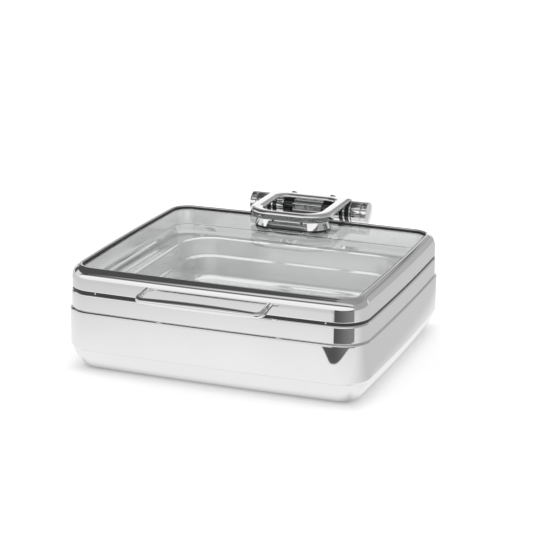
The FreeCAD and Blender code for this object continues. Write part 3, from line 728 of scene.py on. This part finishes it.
# The foot's and lip's points are steps in from the wall or the lip, and up from the bottom or the top
lidFrame = {"inset": 0.0036,
            "bottom": 0.1170,
            "top": 0.1476,
            "foot": [(0.0004, 0.0), (0.0001, 0.0003), (0.0, 0.0008), (0.0, 0.0016)],
            "roundWide": 0.0126,
            "roundTall": 0.0185,
            "roundTo": 86.0,
            "roundSteps": 18,
            "innerTo": 84.0,
            "innerSteps": 8,
            "underRound": 0.0010,
            "lip": 0.0176,
            "lipTurn": [(-0.0008, -0.0001), (-0.0002, -0.0006), (0.0, -0.0012)],
            "lipDrop": 0.0021,
            "sheet": 0.0009}


def makeLidFrame():
    wall, low, top, lip = lidFrame["inset"], lidFrame["bottom"], lidFrame["top"], lidFrame["lip"]
    wide, tall, sheet = lidFrame["roundWide"], lidFrame["roundTall"], lidFrame["sheet"]
    profile = [(wall + inwards, low + up) for inwards, up in lidFrame["foot"]]
    profile += [(wall, top - tall - lidFrame["underRound"])]
    profile += quarterOval(wall, top, wide, tall, 0.0, lidFrame["roundTo"], lidFrame["roundSteps"])
    profile += [(lip + inwards, top + up) for inwards, up in lidFrame["lipTurn"]]
    profile += [(lip, top - lidFrame["lipDrop"]), (lip - sheet, top - lidFrame["lipDrop"])]
    profile += quarterOval(wall + sheet, top - sheet, wide - sheet, tall - sheet,
                           lidFrame["innerTo"], 0.0, lidFrame["innerSteps"])
    profile += [(wall + sheet, low)]
    rim = ringRoundBody("lidFrame", profile)
    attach(rim, "lid")
    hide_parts("lid_frame")
    rim.data.materials.append(finishes["polished_steel"])


# The crease's points are steps in from the wall and up from the crease
waterPan = {"top": 0.0882,
            "shoulder": 0.0030,
            "shoulderSteps": 8,
            "underShoulder": 0.0010,
            "flange": 0.0090,
            "crease": 0.0345,
            "creaseTurn": [(0.0, 0.0012), (0.0, 0.0), (0.0004, -0.0006), (0.0014, -0.0014),
                           (0.0020, -0.0018)],
            "curveBelow": 0.0026,
            "curveInset": 0.0013,
            "curveWide": 0.0255,
            "curveTall": 0.0429,
            "curveFrom": 16.8,
            "curveSteps": 18,
            "bottom": 0.0020,
            "floorInset": 0.0360,
            "floorEdge": 0.0040,
            "sheet": 0.0013,
            "insideLift": 0.4,
            "insideFrom": 0.004,
            "loopSlack": 0.0005,
            "loopLevel": 0.00001}


def panProfile(low, floor):
    # Down the outside from the flange, across the floor's edge, and up the inside, which takes fewer points
    top, sheet, crease = waterPan["top"], waterPan["sheet"], waterPan["crease"]
    shoulder, flange, edge = waterPan["shoulder"], waterPan["flange"], floor - waterPan["floorEdge"]
    outside = [(flange, top)]
    outside += quarterOval(0.0, top, shoulder, shoulder, 90.0, 0.0, waterPan["shoulderSteps"])
    outside += [(0.0, top - shoulder - waterPan["underShoulder"])]
    outside += [(inwards, crease + up) for inwards, up in waterPan["creaseTurn"]]
    curve = quarterOval(waterPan["curveInset"], low + waterPan["curveTall"], waterPan["curveWide"],
                        waterPan["curveTall"], waterPan["curveFrom"], 90.0, waterPan["curveSteps"])
    curve = [(inset, 2.0 * low + waterPan["curveTall"] - z) for inset, z in curve]
    outside += [point for point in curve if point[1] < crease - waterPan["curveBelow"]]
    outside += [(edge, low), (floor, low)]
    inside = [(inset + sheet, z + sheet * waterPan["insideLift"]) for inset, z in outside[-8:2:-1]
              if z > low + waterPan["insideFrom"]]
    inside += [(sheet, top - shoulder), (shoulder, top - sheet), (flange, top - sheet)]
    return outside + [(floor, low + sheet), (edge, low + sheet)] + inside


def fillFloor(pan, low, floor):
    # The ring's inner wall goes, and each of the two loops that it leaves becomes one face
    halfX = bodyOutline["length"] / 2 - floor + waterPan["loopSlack"]
    halfY = bodyOutline["width"] / 2 - floor + waterPan["loopSlack"]
    inner = {corner.index for corner in pan.data.vertices
             if abs(corner.co.x) < halfX and abs(corner.co.y) < halfY}
    bpy.ops.object.mode_set(mode="EDIT")
    bpy.ops.mesh.select_mode(type="FACE")
    bpy.ops.object.mode_set(mode="OBJECT")
    for face in pan.data.polygons:
        face.select = all(index in inner for index in face.vertices)
    bpy.ops.object.mode_set(mode="EDIT")
    bpy.ops.mesh.delete(type="FACE")
    bpy.ops.mesh.select_mode(type="VERT")
    for z in (low, low + waterPan["sheet"]):
        bpy.ops.mesh.select_all(action="DESELECT")
        bpy.ops.object.mode_set(mode="OBJECT")
        for corner in pan.data.vertices:
            onLoop = abs(corner.co.x) < halfX and abs(corner.co.y) < halfY
            corner.select = onLoop and abs(corner.co.z - z) < waterPan["loopLevel"]
        bpy.ops.object.mode_set(mode="EDIT")
        bpy.ops.mesh.edge_face_add()
    bpy.ops.mesh.select_all(action="SELECT")
    bpy.ops.mesh.normals_make_consistent(inside=False)


def makeWaterPan():
    # A tall, soft curve under the crease, and a flat floor
    low, floor = waterPan["bottom"], waterPan["floorInset"]
    pan = ringRoundBody("waterPan", panProfile(low, floor), 50.0)
    fillFloor(pan, low, floor)
    smoothOff(50.0)
    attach(pan, "base")
    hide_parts("base_shell")
    pan.data.materials.append(finishes["polished_steel"])


lidSeal = {"outer": 0.0041,
           "inner": 0.0100,
           "outerLow": 0.11292,
           "crown": 0.0072,
           "bottom": 0.11395,
           "top": 0.11695,
           "soft": 0.0003}


def makePaintedShadeRing():
    # A black ring in the gap stands in for the shade there, a painted shade; it follows the rounded top of
    # the rim below it
    outer, inner, low, top = lidSeal["outer"], lidSeal["inner"], lidSeal["bottom"], lidSeal["top"]
    soft, outerLow = lidSeal["soft"], lidSeal["outerLow"]
    profile = [(lidSeal["crown"], low), (outer + soft, outerLow), (outer, outerLow + soft),
               (outer, top), (inner, top), (inner, low + soft), (inner - soft, low)]
    shadeRing = ringRoundBody("lidSeal", profile, 60.0)
    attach(shadeRing, "lid")
    shadeRing.data.materials.append(finishes["black_rubber"])


makeHandle()
drawInMount()
shapeBarrelEnds()
print("handle, mount and barrel ends made")
makeGlassBead()
makeLidFrame()
makeWaterPan()
makePaintedShadeRing()
print("glass edge, lid frame, water pan and seal made")
softenYoke()
print("yoke made")
